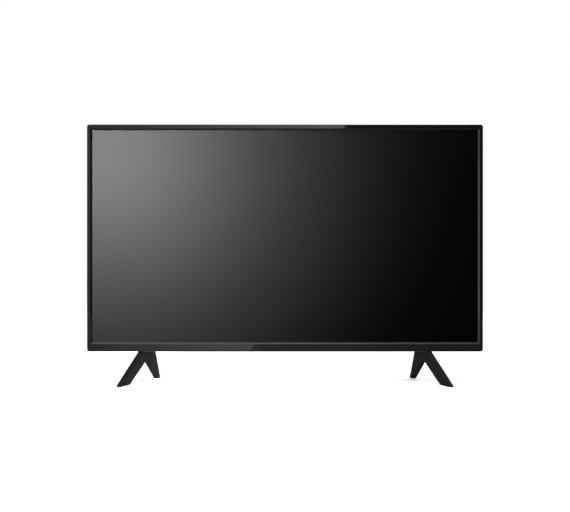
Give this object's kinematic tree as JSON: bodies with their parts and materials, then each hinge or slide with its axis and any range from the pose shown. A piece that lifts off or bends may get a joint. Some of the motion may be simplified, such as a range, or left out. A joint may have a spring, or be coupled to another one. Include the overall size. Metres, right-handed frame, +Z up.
{
  "type": "flat screen tv",
  "caption": "Flat screen television with a thin frame, back-lit liquid crystal panel, rear electronics and two splayed V-shaped feet.",
  "frame": {"origin": "on the floor, under the middle of the screen's face plane, which is also the middle of the feet's depth", "axes": "+X to the viewer's right, +Y from the screen to the back, +Z up"},
  "size_m": [0.966, 0.2014, 0.629],
  "materials": {
    "gloss_black": "gloss",
    "matte_black": "fine texture",
    "screen": "anti-glare",
    "foam": "foam",
    "clear_glass": "polished",
    "film": "film",
    "white_sheet": "satin",
    "steel": "galvanised",
    "board": "solder mask",
    "lamp_bar": "white coated",
    "lens": "clear",
    "chip": "moulded",
    "alloy": "extruded",
    "tin": "tinned",
    "pin": "nickel plated",
    "ferrite": "taped windings",
    "sleeve": "sleeved",
    "white_plug": "moulded",
    "lead": "insulated",
    "cone": "pressed pulp",
    "magnet": "ferrite",
    "screw": "blackened",
    "rubber": "matte",
    "window": "dark tinted"
  },
  "bodies": {
    "set": {"front_bezel": "gloss_black", "panel_cushions": "foam", "front_polariser": "screen", "colour_filter_glass": "clear_glass", "tft_glass": "clear_glass", "rear_polariser": "screen", "driver_films": "film", "source_boards": "board", "middle_frame": "matte_black", "optical_sheets": "white_sheet", "diffuser_plate": "white_sheet", "reflector_sheet": "white_sheet", "lamp_bars": "lamp_bar", "lamp_lenses": "lens", "diffuser_supports": "lens", "rear_chassis": "steel", "vesa_brackets": "steel", "vesa_posts": "steel", "foot_brackets": "steel", "board_standoffs": "steel", "chassis_screws": "tin", "main_board": "board", "power_board": "board", "board_chips": "chip", "heat_sinks": "alloy", "shield_cans": "tin", "hdmi_sockets": "tin", "usb_sockets": "tin", "network_socket": "matte_black", "audio_jack": "matte_black", "optical_socket": "matte_black", "mains_inlet": "matte_black", "inlet_pins": "pin", "power_coils": "ferrite", "capacitors": "sleeve", "panel_ribbons": "film", "lead_plugs": "white_plug", "power_harness": "lead", "signal_leads": "lead", "speaker_boxes": "matte_black", "speaker_gaskets": "foam", "speaker_baskets": "steel", "speaker_magnets": "magnet", "speaker_surround_left": "rubber", "speaker_surround_right": "rubber", "key_board": "board", "key_switch": "chip", "infrared_receiver": "chip", "receiver_window": "window", "rear_cover": "matte_black", "cover_screws": "screw", "foot_left": "matte_black", "foot_right": "matte_black", "foot_screws": "screw", "foot_pads": "rubber"},
    "button": {"power_button": "gloss_black", "switch_plunger": "chip"},
    "cone_left": {"speaker_cone_left": "cone"},
    "cone_right": {"speaker_cone_right": "cone"},
    "shutter": {"optical_shutter": "matte_black"}
  },
  "joints": [
    {"name": "power_button_press", "type": "slide", "parent": "set", "child": "button", "axis": [0, 0, 1], "range_m": [0, 0.0008], "stiffness_N_per_m": 1500},
    {"name": "speaker_cone_left_travel", "type": "slide", "parent": "set", "child": "cone_left", "axis": [0, 0, 1], "range_m": [-0.001, 0.001], "stiffness_N_per_m": 800, "deforming": ["speaker_surround_left"]},
    {"name": "speaker_cone_right_travel", "type": "slide", "parent": "set", "child": "cone_right", "axis": [0, 0, 1], "range_m": [-0.001, 0.001], "stiffness_N_per_m": 800, "deforming": ["speaker_surround_right"]},
    {"name": "optical_shutter_swing", "type": "hinge", "parent": "set", "child": "shutter", "pos_m": [-0.276, 0.0558, 0.1795], "axis": [-1, 0, 0], "range_deg": [0, 80], "stiffness_Nm_per_rad": 0.0002}
  ]
}
